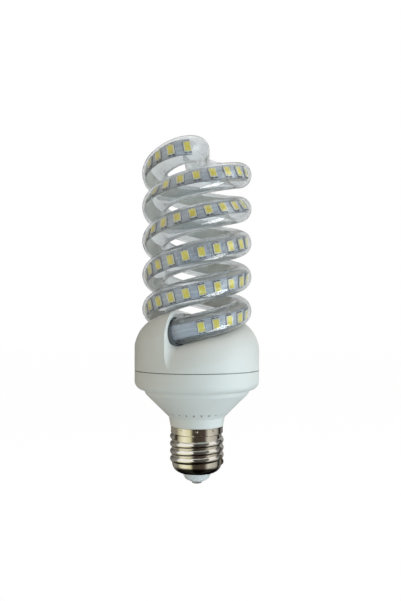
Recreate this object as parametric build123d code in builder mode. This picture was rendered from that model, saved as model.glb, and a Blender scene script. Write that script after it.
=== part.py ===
from build123d import *
from math import atan, cos, degrees, exp, pi, radians, sin, sqrt, tan
import os

os.makedirs("parts", exist_ok=True)

# Spiral lamp with an E27 screw cap. Millimetres, +Z up. The origin is the centre of the base contact's
# face. Azimuth is counted in degrees from the front (-Y), growing to the right (+X), the way a run climbs.

# Spiral of glass tube: two runs, half a turn apart, joined by a bridge over the top
coil_radius = 20.5
coil_pitch = 32.9
tube_radius = 6.1
glass_wall = 0.7
opening_azimuth = 151.5
opening_height = 73.5
exposed_turn = 893.5
hidden_turn = 40.0
bridge_turn = 35.0

# Flexible circuit strips inside the tube
strip_width = 6.8
strip_thickness = 0.3
strip_offset = 3.5
strip_bend_reach = 59.0
strip_tail = 6.0
strip_section_step = 7.0
roll_rest = -8.0
roll_peak = 38.0
roll_height = 134.0
roll_spread = 20.0

# Light-emitting packages on the strips, spaced back from each strip's upper end
package_length = 3.4
package_width = 4.5
package_height = 0.7
window_length = 2.8
window_width = 3.5
window_depth = 0.35
package_lift = 0.25
first_package = {"a": 1.9, "b": 6.8}
package_step = {"a": 7.175, "b": 7.48}
package_closing = {"a": 0.0, "b": 0.0055}
unlit_length = 40.0

# Upper cover
housing_radius = 30.3
housing_wall = 2.0
seam_rise = 27.2
crown_height = 82.2
hub_radius = 13.0
ramp_gap = 0.4
shoulder_drop = 15.5
hollow_shoulder_drop = 10.0
shoulder_lean = 0.4
mouth_rounding = 3.0
seam_chamfer = 0.35

# Silicone rings round the tube in the cover's two openings
seal_thickness = 0.8
seal_length = 3.4
seal_clearance = 0.05

# Lower housing
neck_base_radius = 12.9
neck_top_radius = 13.7
neck_top_height = 32.5
cone_inset = 5.3
step_height = 2.0
side_wall_height = 5.0
corner_radius = 4.4
lip_rise = 3.0
lip_depth = 3.0
lip_wall = 1.2
lip_clearance = 0.2
vent_count = 28
vent_turn = 7.9
vent_radius = 0.4
vent_height = 34.8

# Screw cap, E27
thread_pitch = 3.629
thread_crest_radius = 13.1
thread_root_radius = 12.1
thread_start_height = 10.3
thread_end_gap = 1.5356
thread_half_width = 1.75
thread_sink = 0.3
shell_wall = 0.5
shell_base_height = 5.5
shell_base_radius = 7.6
shell_shoulder_height = 10.1
collar_radius = 12.7
collar_length = 3.1
collar_slope = 0.6
shell_top_height = 28.0
dimple_count = 10
dimple_radius = 0.9
dimple_depth = 0.2
dimple_inset = 1.1
dimple_turn = 18.0
spigot_base_height = 15.0
spigot_clearance = 0.2
neck_gap = 0.2

# Insulating base and centre contact
insulator_tip_radius = 2.9
insulator_bulge_radius = 5.7
insulator_bulge_height = 2.3
insulator_clearance = 0.1
insulator_flange_radius = 9.0
insulator_top_height = 7.8
contact_radius = 2.5
contact_height = 0.8
contact_rounding = 0.5
shank_radius = 1.1
shank_bore_radius = 0.5
shank_clearance = 0.05

# Driver board and what is soldered to it
board_thickness = 1.6
board_lap = 2.0
shelf_width = 1.4
bulk_capacitor_radius = 5.0
bulk_capacitor_length = 14.5
pin_radius = 0.3
pin_gap = 1.2
inductor_radius = 4.0
inductor_height = 8.0
inductor_flange = 1.2
inductor_core_radius = 2.0
inductor_place = (0, 10.6)
film_size = (13.0, 6.0, 10.0)
film_place = (0, -12.0)
rectifier_size = (8.5, 6.4, 3.2)
rectifier_place = (-12.5, 3.0)
chip_size = (4.9, 3.9, 1.5)
chip_place = (11.0, 4.0)
diode_size = (4.4, 2.7, 2.1)
diode_place = (11.0, -4.0)
fuse_radius = 1.7
fuse_length = 8.0
fuse_place = (0, 12.0)
varistor_radius = 4.0
varistor_thickness = 3.4
varistor_place = (-13.0, -6.0)

# Insulated leads
lead_radius = 0.75
lead_place = 7.4
output_lead_radius = 0.5
output_lead_inset = 3.3
output_lead_spread = 2.8
feed_drop = 10.0
solder_radius = 0.9
solder_height = 0.6

# Worked out from the sizes above
climb = coil_pitch / 360
slope = atan(coil_pitch / (2 * pi * coil_radius))
bend_azimuth = opening_azimuth + exposed_turn
bridge_azimuth = bend_azimuth + bridge_turn
bend_radius = (
    coil_radius
    * tan(radians(bridge_turn))
    / cos(slope)
    * sqrt((1 - cos(slope) * sin(radians(bridge_turn))) / (1 + cos(slope) * sin(radians(bridge_turn))))
)
seam_height = shell_top_height + seam_rise
corner_top_height = seam_height - side_wall_height
corner_base_height = corner_top_height - corner_radius
cone_top_height = corner_base_height - step_height
cone_top_radius = housing_radius - cone_inset
cone_slope = (cone_top_height - neck_top_height) / (cone_top_radius - neck_top_radius)
shelf_radius = cone_top_radius - shelf_width
board_radius = shelf_radius + board_lap
board_base = corner_base_height + housing_wall
board_top = board_base + board_thickness
output_lead_place = board_radius - output_lead_inset
strip_climb = coil_pitch / (2 * pi)
strip_radius = coil_radius + strip_offset
strip_arc = sqrt(strip_radius**2 + strip_climb**2)
strip_bend_length = radians(strip_bend_reach) * (bend_radius + strip_offset)
seal_radius = tube_radius + seal_thickness


def outward(azimuth):
    return Vector(sin(radians(azimuth)), -cos(radians(azimuth)), 0)


def along(azimuth):
    return Vector(cos(radians(azimuth)), sin(radians(azimuth)), 0)


def upright(azimuth, height=0.0):
    """Vertical plane through the lamp's axis: local x points outward, local y up."""
    return Plane(origin=(0, 0, height), x_dir=outward(azimuth), z_dir=-along(azimuth))


def climbing(azimuth, height, turn, radius=coil_radius):
    """Helix that starts at an azimuth and climbs at the coil's pitch through the given turn."""
    start = Plane(origin=(0, 0, height), x_dir=outward(azimuth), z_dir=(0, 0, 1))
    return start * Helix(pitch=coil_pitch, height=climb * turn, radius=radius, mode=Mode.PRIVATE)


# Where a run leaves its helix and bends over to the bridge
bend_height = opening_height + climb * exposed_turn
bend_start = coil_radius * outward(bend_azimuth) + Vector(0, 0, bend_height)
bend_along = cos(slope) * along(bend_azimuth) + Vector(0, 0, sin(slope))
bridge_along = -outward(bridge_azimuth)
bridge_reach = coil_radius * tan(radians(bridge_turn)) / cos(slope)
bridge_start = bend_start + bridge_reach * (bend_along + bridge_along)
bend_inward = (bridge_along - bend_along * bend_along.dot(bridge_along)).normalized()


def roll(height):
    """How far the strip is rolled upward about the tube's centre at a height."""
    return radians(roll_rest + roll_peak * exp(-(((height - roll_height) / roll_spread) ** 2)))


def strip_plane(distance):
    """Place on a strip, a distance back from its upper end: local x runs along it, local z faces out."""
    if distance < strip_bend_length:
        angle = (strip_bend_length - distance) / (bend_radius + strip_offset)
        centre = bend_start + bend_radius * (sin(angle) * bend_along + (1 - cos(angle)) * bend_inward)
        forward = cos(angle) * bend_along + sin(angle) * bend_inward
    else:
        back = degrees((distance - strip_bend_length) / strip_arc)
        azimuth = bend_azimuth - back
        centre = coil_radius * outward(azimuth) + Vector(0, 0, bend_height - climb * back)
        forward = cos(slope) * along(azimuth) + Vector(0, 0, sin(slope))
    level = forward.cross(Vector(0, 0, 1)).normalized()
    upward = level.cross(forward)
    tilt = roll(centre.Z)
    facing = cos(tilt) * level + sin(tilt) * upward
    return Plane(origin=centre + strip_offset * facing, x_dir=forward, z_dir=facing)


def package_plane(distance, height):
    """Seat for a package on a strip's outer face: flat on the strip, a height above its middle."""
    here = strip_plane(distance)
    half_length = package_length / 2
    forward = strip_plane(distance - half_length).origin - strip_plane(distance + half_length).origin
    facing = forward.cross(here.y_dir).normalized()
    return Plane(origin=here.origin + height * facing, x_dir=forward, z_dir=facing)


def on_run(shape, run):
    """Run b is run a turned half a turn about the lamp's axis."""
    return shape.rotate(Axis.Z, 180) if run == "b" else shape


def save(part, label):
    part.label = label
    export_step(part, f"parts/{label}.step")


# Glass tube: one piece, both runs and the bridge
with BuildLine() as half_route:
    hidden_height = opening_height - climb * hidden_turn
    add(climbing(opening_azimuth - hidden_turn, hidden_height, hidden_turn + exposed_turn))
    TangentArc(bend_start, bridge_start, tangent=bend_along)
    Line(bridge_start, (0, 0, bridge_start.Z))
with BuildLine() as tube_route:
    add(half_route.line)
    add(half_route.line.rotate(Axis.Z, 180))
tube_wire = Wire(tube_route.edges())
with BuildPart() as spiral_tube:
    with BuildSketch(Plane(origin=tube_wire @ 0, z_dir=tube_wire % 0)):
        Circle(tube_radius)
        Circle(tube_radius - glass_wall, mode=Mode.SUBTRACT)
    sweep(path=tube_wire)
save(spiral_tube.part, "spiral_tube")

# Strips, each a loft through its own section at even steps, and the packages along them
strip_length = strip_bend_length + radians(exposed_turn + hidden_turn) * strip_arc + strip_tail
section_count = int(strip_length / strip_section_step) + 1
package_count = int((strip_length - unlit_length - first_package["a"]) / package_step["a"]) + 1
for run in ("a", "b"):
    with BuildPart() as led_strip:
        for step in range(section_count + 1):
            place = strip_plane(strip_length * step / section_count)
            with BuildSketch(Plane(origin=place.origin, x_dir=place.z_dir, z_dir=place.x_dir)):
                Rectangle(strip_thickness, strip_width)
        loft()
    save(on_run(led_strip.part, run), f"led_strip_{run}")

    seat = strip_thickness / 2 + package_lift
    places = [
        package_plane(
            first_package[run] + package_step[run] * number - package_closing[run] * number**2, seat
        ).location
        for number in range(package_count)
    ]
    with BuildPart() as led_packages:
        with Locations(*places):
            Box(
                package_length,
                package_width,
                package_height,
                align=(Align.CENTER, Align.CENTER, Align.MIN),
            )
        windows = [place * Pos(0, 0, package_height) for place in places]
        with Locations(*windows):
            Box(
                window_length,
                window_width,
                window_depth,
                align=(Align.CENTER, Align.CENTER, Align.MAX),
                mode=Mode.SUBTRACT,
            )
    save(on_run(led_packages.part, run), f"led_packages_{run}")

    with BuildPart() as led_windows:
        with Locations(*windows):
            Box(window_length, window_width, window_depth, align=(Align.CENTER, Align.CENTER, Align.MAX))
    save(on_run(led_windows.part, run), f"led_windows_{run}")

# Upper cover: a shell whose top is two ramps that follow the underside of the spiral's lowest turn. Each
# ramp ends in an upright face, with the mouth through which the other run of tube comes out.
def ramp_space(azimuth, inset, drop, rounding=0.0):
    """The space above one ramp, half a turn long, for the outer face or the hollow one wall inside it."""
    reach = housing_radius + shoulder_lean - inset - coil_radius
    low = opening_height - tube_radius - ramp_gap - inset
    with BuildPart() as space:
        with BuildSketch(upright(azimuth, low)):
            with BuildLine():
                Line((hub_radius - inset, 0), (coil_radius, 0))
                EllipticalCenterArc((coil_radius, -drop), reach, drop, start_angle=0, arc_size=90)
                Polyline(
                    (coil_radius + reach, -drop),
                    (housing_radius + housing_wall, -drop),
                    (housing_radius + housing_wall, crown_height - seam_height),
                    (hub_radius - inset, crown_height - seam_height),
                    (hub_radius - inset, 0),
                )
            make_face()
        sweep(path=climbing(azimuth, low, 180), is_frenet=True, clean=False)
        if rounding:
            mouth_edges = space.faces().filter_by(GeomType.PLANE).sort_by(Axis.Z)[0].edges()
            low_edges = mouth_edges.filter_by(lambda edge: (edge @ 0.5).Z < low + 0.01)
            fillet(low_edges.sort_by(Axis.Z)[-2:], rounding)
    return space.part


wall_turn = degrees(housing_wall / coil_radius)
with BuildPart() as cover_hollow:
    with BuildSketch(Plane.XY.offset(seam_height)):
        Circle(housing_radius - housing_wall)
    extrude(amount=crown_height - housing_wall - seam_height)
    for half in (0, 180):
        hollow_space = ramp_space(opening_azimuth + half, housing_wall, hollow_shoulder_drop)
        add(
            hollow_space.rotate(Axis.Z, -wall_turn).translate((0, 0, -climb * wall_turn)),
            mode=Mode.SUBTRACT,
            clean=False,
        )
with BuildPart() as upper_cover:
    with BuildSketch(Plane.XY.offset(seam_height)):
        Circle(housing_radius)
    extrude(amount=crown_height - seam_height)
    chamfer(upper_cover.faces().sort_by(Axis.Z)[0].edges(), seam_chamfer)
    for half in (0, 180):
        outer_space = ramp_space(opening_azimuth + half, 0, shoulder_drop, mouth_rounding)
        add(outer_space, mode=Mode.SUBTRACT, clean=False)
    add(cover_hollow.part, mode=Mode.SUBTRACT, clean=False)
    for half in (0, 180):
        before = 2 * wall_turn
        through = before + 2 * wall_turn
        mouth_route = climbing(opening_azimuth + half - before, opening_height - climb * before, through)
        with BuildSketch(Plane(origin=mouth_route @ 0, z_dir=mouth_route % 0)):
            Circle(seal_radius)
        sweep(path=mouth_route, mode=Mode.SUBTRACT, clean=False)
save(upper_cover.part, "upper_cover")

# Silicone ring round the tube in each mouth
with BuildPart() as tube_seals:
    for half in (0, 180):
        seal_turn = degrees(seal_length / coil_radius)
        before = (seal_turn + wall_turn) / 2
        seal_route = climbing(opening_azimuth + half - before, opening_height - climb * before, seal_turn)
        with BuildSketch(Plane(origin=seal_route @ 0, z_dir=seal_route % 0)):
            Circle(seal_radius - seal_clearance)
            Circle(tube_radius + seal_clearance, mode=Mode.SUBTRACT)
        sweep(path=seal_route)
save(tube_seals.part, "tube_seals")

# Lower housing: wall, step, cone with its vents, neck, and the spigot inside the screw shell
corner_centre_radius = housing_radius - corner_radius
neck_base_height = shell_top_height + neck_gap
spigot_radius = thread_root_radius - shell_wall - spigot_clearance
spigot_bore_radius = spigot_radius - housing_wall
spigot_collar_radius = collar_radius - shell_wall - spigot_clearance
collar_height = shell_top_height - collar_length
spigot_collar_height = collar_height + shell_wall
inner_corner_radius = corner_radius - housing_wall
cone_wall = housing_wall * sqrt(1 + cone_slope**2)
spigot_bore_height = neck_top_height + cone_wall - cone_slope * (neck_top_radius - spigot_bore_radius)
with BuildPart() as lower_housing:
    with BuildSketch(Plane.XZ):
        with BuildLine():
            Polyline(
                (spigot_bore_radius, spigot_base_height),
                (spigot_radius, spigot_base_height),
                (spigot_radius, spigot_collar_height),
                (spigot_collar_radius, spigot_collar_height + collar_slope),
                (spigot_collar_radius, neck_base_height),
                (neck_base_radius, neck_base_height),
                (neck_top_radius, neck_top_height),
                (cone_top_radius, cone_top_height),
                (corner_centre_radius, corner_base_height),
            )
            RadiusArc(
                (corner_centre_radius, corner_base_height),
                (housing_radius, corner_top_height),
                -corner_radius,
            )
            Polyline(
                (housing_radius, corner_top_height),
                (housing_radius, seam_height),
                (housing_radius - housing_wall - lip_clearance, seam_height),
                (housing_radius - housing_wall - lip_clearance, seam_height + lip_rise),
                (housing_radius - housing_wall - lip_clearance - lip_wall, seam_height + lip_rise),
                (housing_radius - housing_wall - lip_clearance - lip_wall, seam_height - lip_depth),
                (housing_radius - housing_wall, seam_height - lip_depth - lip_wall),
                (housing_radius - housing_wall, corner_top_height),
            )
            RadiusArc(
                (housing_radius - housing_wall, corner_top_height),
                (corner_centre_radius, board_base),
                inner_corner_radius,
            )
            Polyline(
                (corner_centre_radius, board_base),
                (shelf_radius, board_base),
                (shelf_radius, cone_top_height + cone_wall - cone_slope * shelf_width),
                (spigot_bore_radius, spigot_bore_height),
                (spigot_bore_radius, spigot_base_height),
            )
        make_face()
    revolve(axis=Axis.Z)
    seam_edges = lower_housing.edges().filter_by(GeomType.CIRCLE).group_by(SortBy.RADIUS)[-1]
    chamfer(seam_edges.sort_by(Axis.Z)[-1], seam_chamfer)
    with Locations(Plane.XY.offset(vent_height)):
        with PolarLocations(cone_top_radius / 2, vent_count, vent_turn):
            Cylinder(vent_radius, cone_top_radius, rotation=(0, 90, 0), mode=Mode.SUBTRACT)
save(lower_housing.part, "lower_housing")

# Screw shell: rolled sheet with a round thread that ends below the collar, and a ring of crimp dimples
thread_turns = (collar_height - thread_end_gap - thread_start_height) / thread_pitch
dimple_height = shell_top_height - dimple_inset
with BuildPart() as screw_shell:
    with BuildSketch(Plane.XZ):
        with BuildLine():
            Line((0, shell_base_height), (shell_base_radius, shell_base_height))
            shoulder_start = (shell_base_radius, shell_base_height)
            shoulder_end = (thread_root_radius, shell_shoulder_height)
            TangentArc(shoulder_end, shoulder_start, tangent=(0, -1))
            Polyline(
                shoulder_end,
                (thread_root_radius, collar_height - collar_slope),
                (collar_radius, collar_height),
                (collar_radius, shell_top_height),
                (0, shell_top_height),
                (0, shell_base_height),
            )
        make_face()
    revolve(axis=Axis.Z)
    with BuildSketch(Plane.XZ):
        with BuildLine():
            ridge_foot = (thread_root_radius - thread_sink, thread_start_height - thread_half_width)
            ridge_top = (thread_root_radius - thread_sink, thread_start_height + thread_half_width)
            ThreePointArc(ridge_foot, (thread_crest_radius, thread_start_height), ridge_top)
            Line(ridge_top, ridge_foot)
        make_face()
    thread_route = Helix(
        pitch=thread_pitch,
        height=thread_pitch * thread_turns,
        radius=thread_root_radius,
        center=(0, 0, thread_start_height),
        mode=Mode.PRIVATE,
    )
    sweep(path=thread_route, is_frenet=True, clean=False)
    with BuildSketch(Plane.XZ):
        with BuildLine():
            Polyline((0, shell_base_height), (shell_base_radius, shell_base_height))
            inner_start = (shell_base_radius, shell_base_height + shell_wall)
            inner_end = (thread_root_radius - shell_wall, shell_shoulder_height)
            Line(shoulder_start, inner_start)
            TangentArc(inner_end, inner_start, tangent=(0, -1))
            Polyline(
                inner_end,
                (thread_root_radius - shell_wall, collar_height),
                (collar_radius - shell_wall, collar_height + collar_slope),
                (collar_radius - shell_wall, shell_top_height),
                (0, shell_top_height),
                (0, shell_base_height),
            )
        make_face()
    revolve(axis=Axis.Z, mode=Mode.SUBTRACT, clean=False)
    with Locations(Plane.XY.offset(dimple_height)):
        with PolarLocations(collar_radius + dimple_radius - dimple_depth, dimple_count, dimple_turn):
            Sphere(dimple_radius, mode=Mode.SUBTRACT)
save(screw_shell.part, "screw_shell")

# Insulating base, held in the shell's open end by its flange
insulator_shoulder_height = shell_base_height + shell_wall + insulator_clearance
with BuildPart() as cap_insulator:
    with BuildSketch(Plane.XZ):
        Polygon(
            (shank_radius + shank_clearance, contact_height),
            (insulator_tip_radius, contact_height),
            (insulator_bulge_radius, insulator_bulge_height),
            (shell_base_radius - insulator_clearance, shell_base_height),
            (shell_base_radius - insulator_clearance, insulator_shoulder_height),
            (insulator_flange_radius, insulator_top_height - shell_wall),
            (insulator_flange_radius, insulator_top_height),
            (shank_radius + shank_clearance, insulator_top_height),
            align=None,
        )
    revolve(axis=Axis.Z)
save(cap_insulator.part, "cap_insulator")

# Centre contact: an eyelet whose shank runs up through the insulator
with BuildPart() as centre_contact:
    Cylinder(contact_radius, contact_height, align=(Align.CENTER, Align.CENTER, Align.MIN))
    fillet(centre_contact.edges().filter_by(GeomType.CIRCLE).sort_by(Axis.Z)[0], contact_rounding)
    with Locations((0, 0, contact_height)):
        Cylinder(
            shank_radius,
            insulator_top_height - contact_height,
            align=(Align.CENTER, Align.CENTER, Align.MIN),
        )
    with Locations((0, 0, insulator_top_height)):
        Hole(shank_bore_radius, insulator_top_height - contact_height)
save(centre_contact.part, "centre_contact")

# Driver board on the housing's shelf
with BuildPart() as driver_board:
    with BuildSketch(Plane.XY.offset(board_base)):
        Circle(board_radius)
    extrude(amount=board_thickness)
save(driver_board.part, "driver_board")

# Below the board: the bulk capacitor, which reaches down into the neck, and the inductor
with BuildPart() as bulk_capacitor:
    with Locations((0, 0, board_base - pin_gap)):
        Cylinder(
            bulk_capacitor_radius,
            bulk_capacitor_length,
            align=(Align.CENTER, Align.CENTER, Align.MAX),
        )
    fillet(bulk_capacitor.edges().filter_by(GeomType.CIRCLE), bulk_capacitor_radius / 8)
    with Locations((0, 0, board_base)):
        with GridLocations(bulk_capacitor_radius, 0, 2, 1):
            Cylinder(pin_radius, 2 * pin_gap, align=(Align.CENTER, Align.CENTER, Align.MAX))
save(bulk_capacitor.part, "bulk_capacitor")

with BuildPart() as inductor_core:
    with Locations((*inductor_place, board_base)):
        Cylinder(inductor_radius, inductor_flange, align=(Align.CENTER, Align.CENTER, Align.MAX))
        Cylinder(inductor_core_radius, inductor_height, align=(Align.CENTER, Align.CENTER, Align.MAX))
    with Locations((*inductor_place, board_base - inductor_height)):
        Cylinder(inductor_radius, inductor_flange, align=(Align.CENTER, Align.CENTER, Align.MIN))
save(inductor_core.part, "inductor_core")

with BuildPart() as inductor_winding:
    with BuildSketch(Plane.XY.offset(board_base - inductor_height + inductor_flange)):
        with Locations(inductor_place):
            Circle(inductor_radius - inductor_flange / 2)
            Circle(inductor_core_radius, mode=Mode.SUBTRACT)
    extrude(amount=inductor_height - 2 * inductor_flange)
save(inductor_winding.part, "inductor_winding")


def boxed(size, place, corner):
    """A moulded package that sits on top of the board."""
    with BuildPart() as package:
        with Locations((*place, board_top)):
            Box(*size, align=(Align.CENTER, Align.CENTER, Align.MIN))
        fillet(package.edges().filter_by(Axis.Z), corner)
    return package.part


# On top of the board
save(boxed(film_size, film_place, film_size[1] / 6), "film_capacitor")
save(boxed(rectifier_size, rectifier_place, rectifier_size[1] / 12), "bridge_rectifier")
save(boxed(chip_size, chip_place, chip_size[1] / 12), "driver_chip")
save(boxed(diode_size, diode_place, diode_size[1] / 12), "output_diode")

def lead(points, radius, bends):
    """A round wire along straight runs joined by arcs."""
    with BuildLine() as route:
        FilletPolyline(*points, radius=bends)
    with BuildPart(mode=Mode.PRIVATE) as wire:
        with BuildSketch(Plane(origin=route.line @ 0, z_dir=route.line % 0)):
            Circle(radius)
        sweep(path=route.line)
    return wire.part


with BuildPart() as fusible_resistor:
    with Locations((*fuse_place, board_top + fuse_radius)):
        Cylinder(fuse_radius, fuse_length, rotation=(0, 90, 0))
    fillet(fusible_resistor.edges().filter_by(GeomType.CIRCLE), fuse_radius / 3)
    for side in (-1, 1):
        wire_end = fuse_place[0] + side * (fuse_length / 2 + 2 * pin_gap)
        wire_route = [
            (fuse_place[0] + side * fuse_length / 3, fuse_place[1], board_top + fuse_radius),
            (wire_end, fuse_place[1], board_top + fuse_radius),
            (wire_end, fuse_place[1], board_top),
        ]
        add(lead(wire_route, pin_radius, pin_gap))
save(fusible_resistor.part, "fusible_resistor")

with BuildPart() as varistor:
    with Locations((*varistor_place, board_top + pin_gap + varistor_radius)):
        Cylinder(varistor_radius, varistor_thickness, rotation=(90, 0, 0))
    fillet(varistor.edges().filter_by(GeomType.CIRCLE), varistor_thickness / 3)
    with Locations((*varistor_place, board_top)):
        with GridLocations(varistor_radius, 0, 2, 1):
            Cylinder(pin_radius, pin_gap + varistor_radius, align=(Align.CENTER, Align.CENTER, Align.MIN))
save(varistor.part, "varistor")


# Leads from the cap: live from the contact's shank, neutral from the inside of the shell
live_route = [
    (0, 0, insulator_top_height),
    (0, 0, spigot_base_height),
    (lead_place, 0, neck_base_height),
    (lead_place, 0, board_base),
]
save(lead(live_route, lead_radius, lead_place), "live_lead")
neutral_place = thread_root_radius - shell_wall - lead_radius - spigot_clearance
neutral_route = [
    (-neutral_place, 0, shell_shoulder_height),
    (-neutral_place, 0, spigot_base_height - 4 * lead_radius),
    (-lead_place, 0, spigot_base_height),
    (-lead_place, 0, board_base),
]
save(lead(neutral_route, lead_radius, 2 * lead_radius), "neutral_lead")

# Each strip's tail has two solder joints, with a lead from each down to the board
for run in ("a", "b"):
    pads = [
        package_plane(strip_length - solder_radius - pin_radius - gap, strip_thickness / 2)
        for gap in (0, output_lead_spread)
    ]
    with BuildPart() as strip_solder:
        with Locations(*[pad.location for pad in pads]):
            Cylinder(solder_radius, solder_height, align=(Align.CENTER, Align.CENTER, Align.MIN))
    save(on_run(strip_solder.part, run), f"strip_solder_{run}")

    with BuildPart() as output_leads:
        for pad in pads:
            side_on = Vector(pad.origin.X, pad.origin.Y, 0).normalized()
            top = pad.origin + (solder_height + output_lead_radius + seal_clearance) * pad.z_dir
            reach = Vector(top.X, top.Y, 0).length
            feed_route = [
                reach * side_on + Vector(0, 0, top.Z),
                reach * side_on + Vector(0, 0, top.Z - feed_drop),
                output_lead_place * side_on + Vector(0, 0, board_top + feed_drop / 2),
                output_lead_place * side_on + Vector(0, 0, board_top),
            ]
            add(lead(feed_route, output_lead_radius, 3 * output_lead_radius))
    save(on_run(output_leads.part, run), f"output_leads_{run}")
print("tube route", round(tube_wire.length, 2), "strip length", round(strip_length, 2))
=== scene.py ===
import math

import bpy
import numpy as np
from mathutils import Matrix, Quaternion, Vector


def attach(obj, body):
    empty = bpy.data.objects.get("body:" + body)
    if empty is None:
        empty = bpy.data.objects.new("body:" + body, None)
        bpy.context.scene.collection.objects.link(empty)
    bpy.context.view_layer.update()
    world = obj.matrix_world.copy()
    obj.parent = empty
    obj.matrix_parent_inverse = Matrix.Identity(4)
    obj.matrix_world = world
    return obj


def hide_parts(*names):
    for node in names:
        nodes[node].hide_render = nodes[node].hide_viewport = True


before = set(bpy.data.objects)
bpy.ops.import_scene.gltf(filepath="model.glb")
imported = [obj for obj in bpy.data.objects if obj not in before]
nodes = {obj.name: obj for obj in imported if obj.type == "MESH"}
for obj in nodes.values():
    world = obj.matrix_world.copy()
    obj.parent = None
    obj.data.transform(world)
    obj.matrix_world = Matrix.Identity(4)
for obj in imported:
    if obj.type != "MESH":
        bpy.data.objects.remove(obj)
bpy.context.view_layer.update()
print("frame loaded:", len(nodes), "solids of the lamp")


# Camera, level with the lowest turn of the tube

cameraValues = {
    "distance": 0.277,
    "height": 0.0746,
    "lens": 33.9,
    "shiftX": 0.0061,
    "shiftY": 0.0491,
}


def addCamera(values):
    data = bpy.data.cameras.new("frontCamera")
    data.sensor_width = 36.0
    data.lens = values["lens"]
    data.shift_x = values["shiftX"]
    data.shift_y = values["shiftY"]
    data.clip_start = 0.01
    data.clip_end = 20.0
    camera = bpy.data.objects.new("frontCamera", data)
    camera.location = (0, -values["distance"], values["height"])
    camera.rotation_euler = (math.radians(90), 0, 0)
    bpy.context.scene.collection.objects.link(camera)
    bpy.context.scene.camera = camera


addCamera(cameraValues)
bpy.context.scene.view_settings.view_transform = "Standard"


# Small helpers for modelling

def deselectAll():
    bpy.ops.object.select_all(action="DESELECT")


def makeActive(piece):
    deselectAll()
    piece.select_set(True)
    bpy.context.view_layer.objects.active = piece


def addBlock(name, size, centre):
    deselectAll()
    bpy.ops.mesh.primitive_cube_add(size=1, location=centre)
    block = bpy.context.object
    block.name = name
    block.scale = size
    bpy.ops.object.transform_apply(location=True, rotation=False, scale=True)
    return block


def chooseFaces(piece, test):
    mesh = piece.data
    for part in (mesh.vertices, mesh.edges, mesh.polygons):
        part.foreach_set("select", [False] * len(part))
    for face in mesh.polygons:
        face.select = test(face.center, face.normal)
    makeActive(piece)
    bpy.ops.object.mode_set(mode="EDIT")
    bpy.ops.mesh.select_mode(type="FACE")


def leaveEdit():
    bpy.ops.object.mode_set(mode="OBJECT")


def bevelEdges(piece, width):
    makeActive(piece)
    bevel = piece.modifiers.new("softEdges", "BEVEL")
    bevel.width = width
    bevel.segments = 1
    bevel.limit_method = "ANGLE"
    bevel.angle_limit = math.radians(40)
    bpy.ops.object.modifier_apply(modifier=bevel.name)


def copyAlong(model, places, name):
    copies = []
    for place in places:
        copy = model.copy()
        copy.data = model.data.copy()
        copy.data.transform(place)
        bpy.context.scene.collection.objects.link(copy)
        copies.append(copy)
    deselectAll()
    for copy in copies:
        copy.select_set(True)
    bpy.context.view_layer.objects.active = copies[0]
    bpy.ops.object.join()
    joined = bpy.context.object
    joined.name = name
    joined.data.name = name
    return joined


def finishPiece(piece, material, smoothAngle=35):
    makeActive(piece)
    bpy.ops.object.shade_smooth_by_angle(angle=math.radians(smoothAngle))
    piece.data.materials.clear()
    piece.data.materials.append(material)
    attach(piece, "root")


# Node groups that several finishes share

slowWaveShare = 0.08
patchStart = 0.4
patchFull = 0.68


def newGroup(name, inputs, outputs):
    group = bpy.data.node_groups.new(name, "ShaderNodeTree")
    for label, kind, value in inputs:
        socket = group.interface.new_socket(name=label, in_out="INPUT", socket_type=kind)
        socket.default_value = value
    for label, kind in outputs:
        group.interface.new_socket(name=label, in_out="OUTPUT", socket_type=kind)
    entry = group.nodes.new("NodeGroupInput")
    leave = group.nodes.new("NodeGroupOutput")
    return group, entry, leave


def makeGrainGroup():
    # fine moulded grain over a slow waviness, as a height
    group, entry, leave = newGroup(
        "fineGrain",
        [("Scale", "NodeSocketFloat", 900.0), ("Waviness", "NodeSocketFloat", 0.4)],
        [("Height", "NodeSocketFloat"), ("Mask", "NodeSocketFloat")],
    )
    add, link = group.nodes.new, group.links.new
    place = add("ShaderNodeTexCoord")
    fine = add("ShaderNodeTexNoise")
    fine.inputs["Detail"].default_value = 3.0
    slow = add("ShaderNodeTexNoise")
    slow.inputs["Detail"].default_value = 1.0
    slowScale = add("ShaderNodeMath")
    slowScale.operation = "MULTIPLY"
    slowScale.inputs[1].default_value = slowWaveShare
    weight = add("ShaderNodeMath")
    weight.operation = "MULTIPLY"
    total = add("ShaderNodeMath")
    total.operation = "ADD"
    link(place.outputs["Object"], fine.inputs["Vector"])
    link(place.outputs["Object"], slow.inputs["Vector"])
    link(entry.outputs["Scale"], fine.inputs["Scale"])
    link(entry.outputs["Scale"], slowScale.inputs[0])
    link(slowScale.outputs[0], slow.inputs["Scale"])
    link(slow.outputs["Fac"], weight.inputs[0])
    link(entry.outputs["Waviness"], weight.inputs[1])
    link(fine.outputs["Fac"], total.inputs[0])
    link(weight.outputs[0], total.inputs[1])
    link(total.outputs[0], leave.inputs["Height"])
    link(slow.outputs["Fac"], leave.inputs["Mask"])
    return group


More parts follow.
